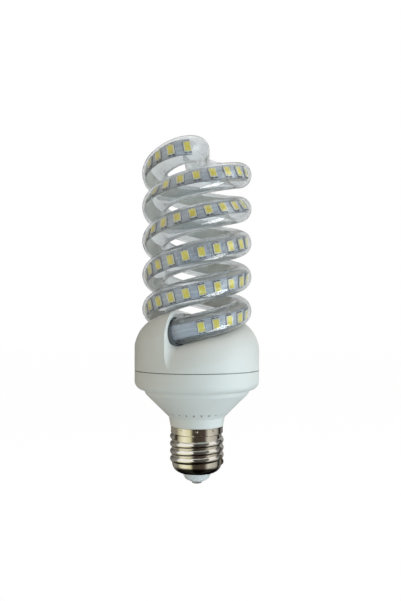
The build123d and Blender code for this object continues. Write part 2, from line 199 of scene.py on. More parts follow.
def makeToneGroup():
    # a clean colour that drifts to a second one in soft patches
    group, entry, leave = newGroup(
        "softPatches",
        [
            ("Color", "NodeSocketColor", (0.8, 0.8, 0.8, 1)),
            ("Patch Color", "NodeSocketColor", (0.7, 0.7, 0.7, 1)),
            ("Scale", "NodeSocketFloat", 60.0),
            ("Amount", "NodeSocketFloat", 0.3),
        ],
        [("Color", "NodeSocketColor"), ("Mask", "NodeSocketFloat")],
    )
    add, link = group.nodes.new, group.links.new
    place = add("ShaderNodeTexCoord")
    noise = add("ShaderNodeTexNoise")
    noise.inputs["Detail"].default_value = 4.0
    spread = add("ShaderNodeMapRange")
    spread.inputs["From Min"].default_value = patchStart
    spread.inputs["From Max"].default_value = patchFull
    weight = add("ShaderNodeMath")
    weight.operation = "MULTIPLY"
    mix = add("ShaderNodeMix")
    mix.data_type = "RGBA"
    link(place.outputs["Object"], noise.inputs["Vector"])
    link(entry.outputs["Scale"], noise.inputs["Scale"])
    link(noise.outputs["Fac"], spread.inputs["Value"])
    link(spread.outputs["Result"], weight.inputs[0])
    link(entry.outputs["Amount"], weight.inputs[1])
    link(weight.outputs[0], mix.inputs["Factor"])
    link(entry.outputs["Color"], mix.inputs["A"])
    link(entry.outputs["Patch Color"], mix.inputs["B"])
    link(mix.outputs["Result"], leave.inputs["Color"])
    link(weight.outputs[0], leave.inputs["Mask"])
    return group


def makeDrawnLinesGroup():
    # lines that run round the lamp's axis, as rolling and turning leave on sheet metal
    group, entry, leave = newGroup(
        "drawnLines",
        [("Lines Per Metre", "NodeSocketFloat", 2500.0), ("Along", "NodeSocketFloat", 60.0)],
        [("Height", "NodeSocketFloat")],
    )
    add, link = group.nodes.new, group.links.new
    place = add("ShaderNodeTexCoord")
    stretch = add("ShaderNodeCombineXYZ")
    scaled = add("ShaderNodeVectorMath")
    scaled.operation = "MULTIPLY"
    noise = add("ShaderNodeTexNoise")
    noise.inputs["Scale"].default_value = 1.0
    noise.inputs["Detail"].default_value = 2.0
    link(entry.outputs["Along"], stretch.inputs["X"])
    link(entry.outputs["Along"], stretch.inputs["Y"])
    link(entry.outputs["Lines Per Metre"], stretch.inputs["Z"])
    link(place.outputs["Object"], scaled.inputs[0])
    link(stretch.outputs["Vector"], scaled.inputs[1])
    link(scaled.outputs["Vector"], noise.inputs["Vector"])
    link(noise.outputs["Fac"], leave.inputs["Height"])
    return group


grainGroup = makeGrainGroup()
toneGroup = makeToneGroup()
drawnLinesGroup = makeDrawnLinesGroup()
print("shared node groups made")


# Materials

def newMaterial(name):
    material = bpy.data.materials.new(name)
    material.use_nodes = True
    tree = material.node_tree
    tree.nodes.clear()
    output = tree.nodes.new("ShaderNodeOutputMaterial")
    shader = tree.nodes.new("ShaderNodeBsdfPrincipled")
    tree.links.new(shader.outputs["BSDF"], output.inputs["Surface"])
    return material, tree, shader


def outputOf(tree):
    return next(node for node in tree.nodes if node.type == "OUTPUT_MATERIAL")


def placeGroup(tree, group, **values):
    node = tree.nodes.new("ShaderNodeGroup")
    node.node_tree = group
    for label, value in values.items():
        node.inputs[label.replace("_", " ")].default_value = value
    return node


def colour(value):
    return (*value, 1.0)


def addBump(tree, shader, heightSocket, strength, distance):
    bump = tree.nodes.new("ShaderNodeBump")
    bump.inputs["Strength"].default_value = strength
    bump.inputs["Distance"].default_value = distance
    tree.links.new(heightSocket, bump.inputs["Height"])
    tree.links.new(bump.outputs["Normal"], shader.inputs["Normal"])


def roughnessRange(tree, shader, maskSocket, low, high):
    spread = tree.nodes.new("ShaderNodeMapRange")
    spread.inputs["To Min"].default_value = low
    spread.inputs["To Max"].default_value = high
    tree.links.new(maskSocket, spread.inputs["Value"])
    tree.links.new(spread.outputs["Result"], shader.inputs["Roughness"])


grainDepth = 0.00005
coatRoughness = 0.1


def makeFinish(name, values):
    # one moulded, coated or metal finish: a patchy tone, a roughness that follows it, and a fine grain
    material, tree, shader = newMaterial(name)
    tone = placeGroup(
        tree,
        toneGroup,
        Color=colour(values["colour"]),
        Patch_Color=colour(values["patch"]),
        Scale=values["patchScale"],
        Amount=values["patchAmount"],
    )
    tree.links.new(tone.outputs["Color"], shader.inputs["Base Color"])
    roughnessRange(tree, shader, tone.outputs["Mask"], *values["roughness"])
    waviness = values.get("waviness", 0.4)
    grain = placeGroup(tree, grainGroup, Scale=values["grainScale"], Waviness=waviness)
    addBump(tree, shader, grain.outputs["Height"], values["bump"], grainDepth)
    shader.inputs["Metallic"].default_value = values.get("metallic", 0.0)
    shader.inputs["Coat Weight"].default_value = values.get("coat", 0.0)
    shader.inputs["Coat Roughness"].default_value = coatRoughness
    return material


def useFinish(material, *nodeNames):
    for nodeName in nodeNames:
        slots = nodes[nodeName].material_slots
        for place in slots:
            place.material = material


housingFinish = {
    "colour": (0.8, 0.785, 0.742),
    "patch": (0.75, 0.735, 0.69),
    "patchScale": 35.0,
    "patchAmount": 0.5,
    "roughness": (0.33, 0.45),
    "grainScale": 1600.0,
    "bump": 0.12,
    "waviness": 1.2,
}
useFinish(makeFinish("housingPlastic", housingFinish), "upper_cover", "lower_housing")


# Bright nickel of the screw shell

shellFinish = {
    "colour": (0.82, 0.79, 0.72),
    "tarnish": (0.66, 0.6, 0.46),
    "patchScale": 70.0,
    "patchAmount": 0.55,
    "roughness": (0.12, 0.3),
    "linesPerMetre": 2600.0,
    "bump": 0.16,
    "bumpDepth": 0.00004,
}


def makeShellMetal(values):
    material, tree, shader = newMaterial("brightNickel")
    tone = placeGroup(
        tree,
        toneGroup,
        Color=colour(values["colour"]),
        Patch_Color=colour(values["tarnish"]),
        Scale=values["patchScale"],
        Amount=values["patchAmount"],
    )
    lines = placeGroup(tree, drawnLinesGroup, Lines_Per_Metre=values["linesPerMetre"])
    tree.links.new(tone.outputs["Color"], shader.inputs["Base Color"])
    roughnessRange(tree, shader, tone.outputs["Mask"], *values["roughness"])
    addBump(tree, shader, lines.outputs["Height"], values["bump"], values["bumpDepth"])
    shader.inputs["Metallic"].default_value = 1.0
    return material


useFinish(makeShellMetal(shellFinish), "screw_shell")


# Clear glass of the spiral: real refraction, and lamps shine through to the strips inside

glassValues = {
    "colour": (0.8, 0.82, 0.825),
    "patchDarkening": 0.95,
    "patchScale": 90.0,
    "patchAmount": 0.5,
    "clearness": 0.955,
    "roughness": 0.03,
    "ior": 1.47,
    "rippleScale": 55.0,
    "ripple": 0.1,
    "rippleDepth": 0.0004,
    "lampTint": (0.92, 0.94, 0.95),
}


def makeGlass(values):
    material, tree, shader = newMaterial("clearTube")
    output = outputOf(tree)
    tone = placeGroup(
        tree,
        toneGroup,
        Color=colour(values["colour"]),
        Patch_Color=colour([part * values["patchDarkening"] for part in values["colour"]]),
        Scale=values["patchScale"],
        Amount=values["patchAmount"],
    )
    tree.links.new(tone.outputs["Color"], shader.inputs["Base Color"])
    shader.inputs["Roughness"].default_value = values["roughness"]
    shader.inputs["IOR"].default_value = values["ior"]
    shader.inputs["Transmission Weight"].default_value = values["clearness"]
    grain = placeGroup(tree, grainGroup, Scale=values["rippleScale"], Waviness=1.0)
    addBump(tree, shader, grain.outputs["Height"], values["ripple"], values["rippleDepth"])
    through = tree.nodes.new("ShaderNodeBsdfTransparent")
    through.inputs["Color"].default_value = colour(values["lampTint"])
    path = tree.nodes.new("ShaderNodeLightPath")
    mix = tree.nodes.new("ShaderNodeMixShader")
    tree.links.new(path.outputs["Is Shadow Ray"], mix.inputs["Fac"])
    tree.links.new(shader.outputs["BSDF"], mix.inputs[1])
    tree.links.new(through.outputs["BSDF"], mix.inputs[2])
    tree.links.new(mix.outputs["Shader"], output.inputs["Surface"])
    return material


useFinish(makeGlass(glassValues), "spiral_tube")


# Smaller parts of the cap, the seals, the leads and the driver

smallFinishes = {
    "insulatorGlaze": {
        "nodes": ["cap_insulator"],
        "colour": (0.84, 0.85, 0.84),
        "patch": (0.7, 0.7, 0.68),
        "patchScale": 220.0,
        "patchAmount": 0.5,
        "roughness": (0.3, 0.5),
        "grainScale": 1400.0,
        "bump": 0.25,
    },
    "contactSolder": {
        "nodes": ["centre_contact"],
        "colour": (0.55, 0.55, 0.54),
        "patch": (0.3, 0.3, 0.3),
        "patchScale": 500.0,
        "patchAmount": 0.7,
        "roughness": (0.3, 0.55),
        "grainScale": 1500.0,
        "bump": 0.4,
        "metallic": 1.0,
    },
    "sealSilicone": {
        "nodes": ["tube_seals"],
        "colour": (0.09, 0.095, 0.1),
        "patch": (0.15, 0.15, 0.15),
        "patchScale": 300.0,
        "patchAmount": 0.5,
        "roughness": (0.5, 0.7),
        "grainScale": 2200.0,
        "bump": 0.2,
    },
    "jointSolder": {
        "nodes": ["strip_solder_a", "strip_solder_b"],
        "colour": (0.75, 0.76, 0.78),
        "patch": (0.5, 0.5, 0.5),
        "patchScale": 900.0,
        "patchAmount": 0.6,
        "roughness": (0.2, 0.4),
        "grainScale": 3000.0,
        "bump": 0.3,
        "metallic": 1.0,
    },
    "boardMask": {
        "nodes": ["driver_board"],
        "colour": (0.02, 0.14, 0.04),
        "patch": (0.05, 0.22, 0.07),
        "patchScale": 260.0,
        "patchAmount": 0.8,
        "roughness": (0.3, 0.45),
        "grainScale": 1800.0,
        "bump": 0.2,
        "coat": 0.2,
    },
    "capacitorSleeve": {
        "nodes": ["bulk_capacitor"],
        "colour": (0.02, 0.02, 0.025),
        "patch": (0.06, 0.06, 0.07),
        "patchScale": 200.0,
        "patchAmount": 0.5,
        "roughness": (0.25, 0.4),
        "grainScale": 700.0,
        "bump": 0.2,
    },
    "filmCase": {
        "nodes": ["film_capacitor"],
        "colour": (0.62, 0.36, 0.05),
        "patch": (0.5, 0.26, 0.03),
        "patchScale": 200.0,
        "patchAmount": 0.6,
        "roughness": (0.3, 0.45),
        "grainScale": 900.0,
        "bump": 0.25,
    },
    "ferriteCore": {
        "nodes": ["inductor_core"],
        "colour": (0.05, 0.05, 0.055),
        "patch": (0.09, 0.085, 0.08),
        "patchScale": 600.0,
        "patchAmount": 0.8,
        "roughness": (0.55, 0.75),
        "grainScale": 2600.0,
        "bump": 0.5,
    },
    "blackMoulding": {
        "nodes": ["bridge_rectifier", "driver_chip", "output_diode"],
        "colour": (0.025, 0.025, 0.025),
        "patch": (0.05, 0.05, 0.05),
        "patchScale": 700.0,
        "patchAmount": 0.6,
        "roughness": (0.45, 0.6),
        "grainScale": 3000.0,
        "bump": 0.4,
    },
    "resistorCoat": {
        "nodes": ["fusible_resistor"],
        "colour": (0.1, 0.2, 0.35),
        "patch": (0.16, 0.28, 0.42),
        "patchScale": 500.0,
        "patchAmount": 0.6,
        "roughness": (0.5, 0.65),
        "grainScale": 1500.0,
        "bump": 0.35,
    },
    "varistorCoat": {
        "nodes": ["varistor"],
        "colour": (0.02, 0.07, 0.3),
        "patch": (0.04, 0.12, 0.4),
        "patchScale": 300.0,
        "patchAmount": 0.6,
        "roughness": (0.25, 0.4),
        "grainScale": 900.0,
        "bump": 0.3,
        "coat": 0.3,
    },
    "redLead": {
        "nodes": ["live_lead"],
        "colour": (0.5, 0.03, 0.02),
        "patch": (0.4, 0.02, 0.02),
        "patchScale": 400.0,
        "patchAmount": 0.5,
        "roughness": (0.35, 0.5),
        "grainScale": 1500.0,
        "bump": 0.15,
    },
    "blackLead": {
        "nodes": ["neutral_lead"],
        "colour": (0.02, 0.02, 0.02),
        "patch": (0.05, 0.05, 0.05),
        "patchScale": 400.0,
        "patchAmount": 0.5,
        "roughness": (0.35, 0.5),
        "grainScale": 1500.0,
        "bump": 0.15,
    },
    "whiteLead": {
        "nodes": ["output_leads_a", "output_leads_b"],
        "colour": (0.75, 0.75, 0.73),
        "patch": (0.65, 0.65, 0.62),
        "patchScale": 400.0,
        "patchAmount": 0.5,
        "roughness": (0.35, 0.5),
        "grainScale": 1500.0,
        "bump": 0.15,
    },
}
for finishName, finishValues in smallFinishes.items():
    useFinish(makeFinish(finishName, finishValues), *finishValues["nodes"])


# Enamelled wire of the inductor, wound round its core

windingValues = {
    "copper": (0.55, 0.2, 0.07),
    "dark": (0.2, 0.06, 0.02),
    "patchScale": 900.0,
    "patchAmount": 0.4,
    "turnsPerMetre": 2800.0,
    "alongTurn": 10.0,
    "bump": 0.6,
    "bumpDepth": 0.0001,
    "metallic": 0.8,
    "roughness": 0.3,
}


def makeWinding(values):
    material, tree, shader = newMaterial("enamelledCopper")
    lines = placeGroup(
        tree,
        drawnLinesGroup,
        Lines_Per_Metre=values["turnsPerMetre"],
        Along=values["alongTurn"],
    )
    tone = placeGroup(
        tree,
        toneGroup,
        Color=colour(values["copper"]),
        Patch_Color=colour(values["dark"]),
        Scale=values["patchScale"],
        Amount=values["patchAmount"],
    )
    tree.links.new(tone.outputs["Color"], shader.inputs["Base Color"])
    addBump(tree, shader, lines.outputs["Height"], values["bump"], values["bumpDepth"])
    shader.inputs["Metallic"].default_value = values["metallic"]
    shader.inputs["Roughness"].default_value = values["roughness"]
    return material


useFinish(makeWinding(windingValues), "inductor_winding")
print("finishes of the solids set")


# Line of the strips inside the tube, in metres and degrees

spiralValues = {
    "coilRadius": 0.0205,
    "coilPitch": 0.0329,
    "openingAzimuth": 151.5,
    "openingHeight": 0.0735,
    "exposedTurn": 893.5,
    "hiddenTurn": 40.0,
    "bridgeTurn": 35.0,
    "stripOffset": 0.0035,
    "stripTail": 0.006,
    "stripWidth": 0.0068,
    "stripThickness": 0.0003,
    "bendReach": 59.0,
    "rollRest": -8.0,
    "rollPeak": 38.0,
    "rollHeight": 0.134,
    "rollSpread": 0.02,
}


def outward(azimuth):
    angle = math.radians(azimuth)
    return Vector((math.sin(angle), -math.cos(angle), 0))


def onward(azimuth):
    angle = math.radians(azimuth)
    return Vector((math.cos(angle), math.sin(angle), 0))


def stripLine(values):
    # worked out once: where the run leaves its helix, and how it bends to the bridge over the top
    climb = values["coilPitch"] / (2 * math.pi)
    slope = math.atan(climb / values["coilRadius"])
    bendAzimuth = values["openingAzimuth"] + values["exposedTurn"]
    turned = math.cos(slope) * math.sin(math.radians(values["bridgeTurn"]))
    bendRadius = values["coilRadius"] * math.tan(math.radians(values["bridgeTurn"])) / math.cos(slope)
    bendRadius *= math.sqrt((1 - turned) / (1 + turned))
    height = values["openingHeight"] + values["coilPitch"] * values["exposedTurn"] / 360
    start = values["coilRadius"] * outward(bendAzimuth) + Vector((0, 0, height))
    forward = math.cos(slope) * onward(bendAzimuth) + Vector((0, 0, math.sin(slope)))
    bridge = -outward(bendAzimuth + values["bridgeTurn"])
    inward = (bridge - forward * bridge.dot(forward)).normalized()
    arc = math.hypot(values["coilRadius"] + values["stripOffset"], climb)
    bendLength = math.radians(values["bendReach"]) * (bendRadius + values["stripOffset"])
    turnLength = math.radians(values["exposedTurn"] + values["hiddenTurn"]) * arc
    return {
        "slope": slope,
        "bendAzimuth": bendAzimuth,
        "bendRadius": bendRadius,
        "height": height,
        "start": start,
        "forward": forward,
        "inward": inward,
        "arc": arc,
        "bendLength": bendLength,
        "length": bendLength + turnLength + values["stripTail"],
    }


line = stripLine(spiralValues)


def stripPlace(distance):
    # local x runs along the strip, local z faces out of the tube's coil
    values = spiralValues
    if distance < line["bendLength"]:
        angle = (line["bendLength"] - distance) / (line["bendRadius"] + values["stripOffset"])
        side = math.sin(angle) * line["forward"] + (1 - math.cos(angle)) * line["inward"]
        centre = line["start"] + line["bendRadius"] * side
        forward = math.cos(angle) * line["forward"] + math.sin(angle) * line["inward"]
    else:
        back = math.degrees((distance - line["bendLength"]) / line["arc"])
        azimuth = line["bendAzimuth"] - back
        height = line["height"] - values["coilPitch"] * back / 360
        centre = values["coilRadius"] * outward(azimuth) + Vector((0, 0, height))
        forward = math.cos(line["slope"]) * onward(azimuth) + Vector((0, 0, math.sin(line["slope"])))
    level = forward.cross(Vector((0, 0, 1))).normalized()
    upward = level.cross(forward)
    lift = ((centre.z - values["rollHeight"]) / values["rollSpread"]) ** 2
    tilt = math.radians(values["rollRest"] + values["rollPeak"] * math.exp(-lift))
    facing = math.cos(tilt) * level + math.sin(tilt) * upward
    return centre + values["stripOffset"] * facing, forward, facing


def ledPlace(distance, height, runTurn):
    middle, forward, facing = stripPlace(distance)
    before = stripPlace(distance - ledValues["length"] / 2)[0]
    after = stripPlace(distance + ledValues["length"] / 2)[0]
    run = (before - after).normalized()
    across = facing.cross(forward)
    facing = run.cross(across).normalized()
    across = facing.cross(run)
    place = Matrix((run, across, facing)).transposed().to_4x4()
    place.translation = middle + height * facing
    return Matrix.Rotation(runTurn, 4, "Z") @ place


# Light-emitting packages: a cream frame round a sunk yellow window, soldered at both ends, each on a dark
# plate that is painted shadow

ledValues = {
    "length": 0.0034,
    "width": 0.0045,
    "height": 0.0007,
    "rim": 0.0004,
    "recessTaper": (0.94, 0.96, 1),
    "windowDepth": 0.00035,
    "windowPlay": 0.00001,
    "windowFill": 0.7,
    "windowSink": 0.62,
    "windowCrown": 0.00008,
    "crownInsets": (0.8, 0.6),
    "crownTop": 0.3,
    "bodyBevel": 0.00012,
    "padLength": 0.0012,
    "padSpread": 0.00095,
    "padReach": 0.001,
    "padLap": 0.0004,
    "padHeight": 0.00102,
    "padTaper": (0.8, 1, 0.3),
    "padBevel": 0.00006,
    "shadowPlate": 0.0002,
    "shadowPlateBevel": 0.00005,
    "lift": 0.00025,
    "first": {"a": 0.0019, "b": 0.0068},
    "step": {"a": 0.007175, "b": 0.00748},
    "closing": {"a": 0.0, "b": 0.0000055},
    "count": 53,
}


def modelLedBody(values):
    top = values["height"]
    size = (values["length"], values["width"], values["height"])
    body = addBlock("ledBody", size, (0, 0, top / 2))
    chooseFaces(body, lambda centre, normal: normal.z > 0.9)
    bpy.ops.mesh.inset(thickness=values["rim"], depth=0)
    bpy.ops.mesh.extrude_region_move(TRANSFORM_OT_translate={"value": (0, 0, -values["windowDepth"])})
    bpy.ops.transform.resize(value=values["recessTaper"], center_override=(0, 0, 0))
    leaveEdit()
    bevelEdges(body, values["bodyBevel"])
    return body


def modelLedWindow(values):
    rim = values["rim"] + values["windowPlay"]
    depth = values["windowDepth"]
    size = (values["length"] - 2 * rim, values["width"] - 2 * rim, depth * values["windowFill"])
    height = values["height"] - depth * values["windowSink"]
    window = addBlock("ledWindow", size, (0, 0, height))
    chooseFaces(window, lambda centre, normal: normal.z > 0.9)
    bpy.ops.mesh.inset(thickness=values["rim"] * values["crownInsets"][0], depth=0)
    bpy.ops.transform.translate(value=(0, 0, values["windowCrown"]))
    bpy.ops.mesh.inset(thickness=values["rim"] * values["crownInsets"][1], depth=0)
    bpy.ops.transform.translate(value=(0, 0, values["windowCrown"] * values["crownTop"]))
    leaveEdit()
    return window


def modelLedLeadsAndShadow(values):
    # two dull leads at each side that lap over the package and slope down to the strip, painted near
    # black as painted shade, and a dark plate under the package as painted shadow
    leadsAndShadow = []
    for side in (-1, 1):
        for place in (-1, 1):
            centre = side * (values["width"] / 2 + values["padReach"] / 2 - values["padLap"])
            size = (values["padLength"], values["padReach"], values["padHeight"])
            height = values["padHeight"] / 2 - values["lift"]
            pad = addBlock("ledPad", size, (place * values["padSpread"], centre, height))
            chooseFaces(pad, lambda centre, normal, side=side: normal.y * side > 0.9)
            foot = (place * values["padSpread"], 0, -values["lift"])
            bpy.ops.transform.resize(value=values["padTaper"], center_override=foot)
            leaveEdit()
            bevelEdges(pad, values["padBevel"])
            leadsAndShadow.append(pad)
    # a dark plate under the package, a little larger than it: painted shadow round its edges
    spread = 2 * values["shadowPlate"]
    size = (values["length"] + spread, values["width"] + spread, values["shadowPlate"])
    shadowPlate = addBlock("ledShadowPlate", size, (0, 0, values["shadowPlate"] / 2 - values["lift"]))
    bevelEdges(shadowPlate, values["shadowPlateBevel"])
    leadsAndShadow.append(shadowPlate)
    deselectAll()
    for pad in leadsAndShadow:
        pad.select_set(True)
    bpy.context.view_layer.objects.active = leadsAndShadow[0]
    bpy.ops.object.join()
    return bpy.context.object


packageFinish = {
    "colour": (0.82, 0.79, 0.66),
    "patch": (0.7, 0.66, 0.5),
    "patchScale": 300.0,
    "patchAmount": 0.5,
    "roughness": (0.35, 0.5),
    "grainScale": 3000.0,
    "bump": 0.15,
}
phosphorFinish = {
    "colour": (0.86, 0.7, 0.004),
    "patch": (0.66, 0.45, 0.004),
    "patchScale": 500.0,
    "patchAmount": 0.8,
    "roughness": (0.35, 0.5),
    "grainScale": 2600.0,
    "bump": 0.3,
}
# near black: the leads' dull solder darkened as painted shade, and the plate under the package as painted
# shadow
leadAndShadowFinish = {
    "colour": (0.06, 0.04, 0.03),
    "patch": (0.14, 0.11, 0.08),
    "patchScale": 420.0,
    "patchAmount": 0.6,
    "roughness": (0.3, 0.5),
    "grainScale": 2600.0,
    "bump": 0.3,
    "metallic": 0.3,
}


def addLeds(values):
    body = modelLedBody(values)
    window = modelLedWindow(values)
    leadsAndShadow = modelLedLeadsAndShadow(values)
    packageMaterial = makeFinish("packageMoulding", packageFinish)
    phosphorMaterial = makeFinish("phosphorResin", phosphorFinish)
    leadAndShadowMaterial = makeFinish("leadSolderAndShadow", leadAndShadowFinish)
    seat = spiralValues["stripThickness"] / 2 + values["lift"]
    for run, runTurn in (("a", 0.0), ("b", math.pi)):
        distances = [
            values["first"][run] + values["step"][run] * number - values["closing"][run] * number**2
            for number in range(values["count"])
        ]
        places = [ledPlace(distance, seat, runTurn) for distance in distances]
        bodies = copyAlong(body, places, "ledBodies_" + run)
        finishPiece(bodies, packageMaterial)
        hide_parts("led_packages_" + run)
        windows = copyAlong(window, places, "ledWindows_" + run)
        finishPiece(windows, phosphorMaterial)
        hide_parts("led_windows_" + run)
        leadsAndShadowCopies = copyAlong(leadsAndShadow, places, "ledLeadsAndShadow_" + run)
        finishPiece(leadsAndShadowCopies, leadAndShadowMaterial)
    for model in (body, window, leadsAndShadow):
        bpy.data.objects.remove(model)


addLeds(ledValues)
print("packages placed along both strips")


# Flexible strips: the solids' own shape, marked along its run so that the traces can follow it

stripFinish = {
    "face": (0.4, 0.42, 0.48),
    "back": (0.9, 0.83, 0.72),
    "trace": (0.46, 0.48, 0.54),
    "joiningTraceWithSheen": (0.62, 0.64, 0.68),
    "joiningWidth": 0.044,
    "cutShare": 0.02,
    "edge": (0.1, 0.1, 0.12),
    "traceLow": 0.2,
    "traceHigh": 0.8,
    "traceWidth": 0.05,
    "edgeWidth": 0.035,
    "roughness": (0.3, 0.45),
    "patchDarkening": 0.85,
    "patchScale": 260.0,
    "patchAmount": 0.7,
    "grainScale": 1800.0,
    "grainShare": 0.3,
    "bump": 0.12,
    "bumpDepth": 0.00003,
    "markStep": {"a": 3 * 0.00736, "b": 3 * 0.0075},
}


def markStrip(piece, runTurn):
    # each corner gets its distance along the strip, its place across it, and which side it is on
    steps = 900
    planes = [stripPlace(line["length"] * number / steps) for number in range(steps + 1)]
    origins = np.array([plane[0] for plane in planes])
    forwards = np.array([plane[1] for plane in planes])
    facings = np.array([plane[2] for plane in planes])
    acrosses = np.cross(facings, forwards)
    mesh = piece.data
    points = np.zeros(len(mesh.vertices) * 3)
    mesh.vertices.foreach_get("co", points)
    points = points.reshape(-1, 3) @ np.array(Matrix.Rotation(runTurn, 3, "Z"))
    run = np.zeros(len(points))
    across = np.zeros(len(points))
    side = np.zeros(len(points))
    for number, point in enumerate(points):
        offset = point - origins
        nearest = np.argmin((offset**2).sum(1))
        ahead = offset[nearest] @ forwards[nearest]
        run[number] = (line["length"] * nearest / steps - ahead) / line["length"]
        across[number] = offset[nearest] @ acrosses[nearest] / spiralValues["stripWidth"] + 0.5
        side[number] = 1.0 if offset[nearest] @ facings[nearest] > 0 else 0.0
    layer = mesh.uv_layers.new(name="alongStrip")
    corners = np.zeros(len(mesh.loops), dtype=np.int32)
    mesh.loops.foreach_get("vertex_index", corners)
    layer.data.foreach_set("uv", np.stack([run[corners], across[corners]], 1).ravel())
    attribute = mesh.attributes.new("stripSide", "FLOAT", "POINT")
    attribute.data.foreach_set("value", side)


def makeStripMaterial(name, values, markStep):
    material, tree, shader = newMaterial(name)
    add, link = tree.nodes.new, tree.links.new

    def calculate(operation, first, second=None):
        node = add("ShaderNodeMath")
        node.operation = operation
        for socket, value in zip(node.inputs, (first, second)):
            if value is None:
                continue
            if isinstance(value, (int, float)):
                socket.default_value = value
            else:
                link(value, socket)
        return node.outputs[0]

    def blend(factor, first, second):
        node = add("ShaderNodeMix")
        node.data_type = "RGBA"
        link(factor, node.inputs["Factor"])
        for socket, value in ((node.inputs["A"], first), (node.inputs["B"], second)):
            if isinstance(value, tuple):
                socket.default_value = colour(value)
            else:
                link(value, socket)
        return node.outputs["Result"]

    place = add("ShaderNodeUVMap")
    place.uv_map = "alongStrip"
    parts = add("ShaderNodeSeparateXYZ")
    link(place.outputs["UV"], parts.inputs["Vector"])
    run, across = parts.outputs["X"], parts.outputs["Y"]
    sideValue = add("ShaderNodeAttribute")
    sideValue.attribute_name = "stripSide"

    tone = placeGroup(
        tree,
        toneGroup,
        Color=colour(values["face"]),
        Patch_Color=colour([part * values["patchDarkening"] for part in values["face"]]),
        Scale=values["patchScale"],
        Amount=values["patchAmount"],
    )
    half = values["traceWidth"] / 2
    lowTrace = calculate("COMPARE", across, values["traceLow"])
    highTrace = calculate("COMPARE", across, values["traceHigh"])
    for trace in (lowTrace, highTrace):
        trace.node.inputs[2].default_value = half
    traces = calculate("MAXIMUM", lowTrace, highTrace)
    joining = calculate("COMPARE", across, 0.5)
    joining.node.inputs[2].default_value = values["joiningWidth"] / 2
    marks = calculate("FRACT", calculate("MULTIPLY", run, line["length"] / markStep))
    cut = calculate("LESS_THAN", marks, values["cutShare"])
    fromMiddle = calculate("ABSOLUTE", calculate("SUBTRACT", across, 0.5))
    edge = calculate("GREATER_THAN", fromMiddle, 0.5 - values["edgeWidth"])
    shown = blend(traces, tone.outputs["Color"], values["trace"])
    # a real trace down the middle, painted lighter than the face: partly its own colour, partly painted
    # highlight for its glint
    shown = blend(joining, shown, values["joiningTraceWithSheen"])
    shown = blend(cut, shown, values["trace"])
    shown = blend(edge, shown, values["edge"])
    shown = blend(sideValue.outputs["Fac"], values["back"], shown)
    link(shown, shader.inputs["Base Color"])
    roughnessRange(tree, shader, tone.outputs["Mask"], *values["roughness"])
    grain = placeGroup(tree, grainGroup, Scale=values["grainScale"], Waviness=1.0)
    fineGrain = calculate("MULTIPLY", grain.outputs["Height"], values["grainShare"])
    height = calculate("ADD", fineGrain, traces)
    addBump(tree, shader, height, values["bump"], values["bumpDepth"])
    return material


def addStrip(run, runTurn):
    piece = bpy.data.objects.new("ledStrip_" + run, nodes["led_strip_" + run].data.copy())
    bpy.context.scene.collection.objects.link(piece)
    chooseFaces(piece, lambda centre, normal: True)
    bpy.ops.mesh.remove_doubles(threshold=0.000001)
    leaveEdit()
    markStrip(piece, runTurn)
    material = makeStripMaterial("flexibleStrip_" + run, stripFinish, stripFinish["markStep"][run])
    finishPiece(piece, material, smoothAngle=50)
    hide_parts("led_strip_" + run)


addStrip("a", 0.0)
addStrip("b", math.pi)
print("strips marked and coloured")


# Dark ring down in the gap where the cover meets the lower housing: painted shade, standing in for the
# shade inside the seam

gapValues = {"height": 0.0552, "radius": 0.02994, "thickness": 0.00024}
# painted shade: a dark colour for the ring that stands in for the seam's shadow
paintedSeamShadeFinish = {
    "colour": (0.12, 0.125, 0.12),
    "patch": (0.3, 0.3, 0.28),
    "patchScale": 120.0,
    "patchAmount": 0.7,
    "roughness": (0.6, 0.8),
    "grainScale": 1500.0,
    "bump": 0.3,
}


def addSeamShadeRing(values):
    deselectAll()
    bpy.ops.mesh.primitive_torus_add(
        major_radius=values["radius"],
        minor_radius=values["thickness"],
        major_segments=160,
        minor_segments=10,
        location=(0, 0, values["height"]),
    )
    bpy.ops.object.transform_apply(location=True, rotation=True, scale=True)
    gap = bpy.context.object
    gap.name = "seamShadeRing"
    finishPiece(gap, makeFinish("seamShade", paintedSeamShadeFinish), smoothAngle=60)


addSeamShadeRing(gapValues)
print("seam added")


# Floor and white surroundings

stageValues = {
    "floorHeight": -0.06,
    "floorSize": 8.0,
    "white": 1.0,
    "floorWhite": 1.05,
    "floorGlow": 0.92,
    "floorShade": (0.9, 0.9, 0.9),
    "floorRoughness": 0.8,
    "ambient": 0.33,
    "ambientColour": (0.98, 1.0, 0.95),
}


def seenDirectly(tree):
    # 1 for rays that show the surroundings: to the camera, and through gloss and glass
    path = tree.nodes.new("ShaderNodeLightPath")
    first = tree.nodes.new("ShaderNodeMath")
    first.operation = "MAXIMUM"
    second = tree.nodes.new("ShaderNodeMath")
    second.operation = "MAXIMUM"
    tree.links.new(path.outputs["Is Camera Ray"], first.inputs[0])
    tree.links.new(path.outputs["Is Glossy Ray"], first.inputs[1])
    tree.links.new(first.outputs[0], second.inputs[0])
    tree.links.new(path.outputs["Is Transmission Ray"], second.inputs[1])
    return second.outputs[0]


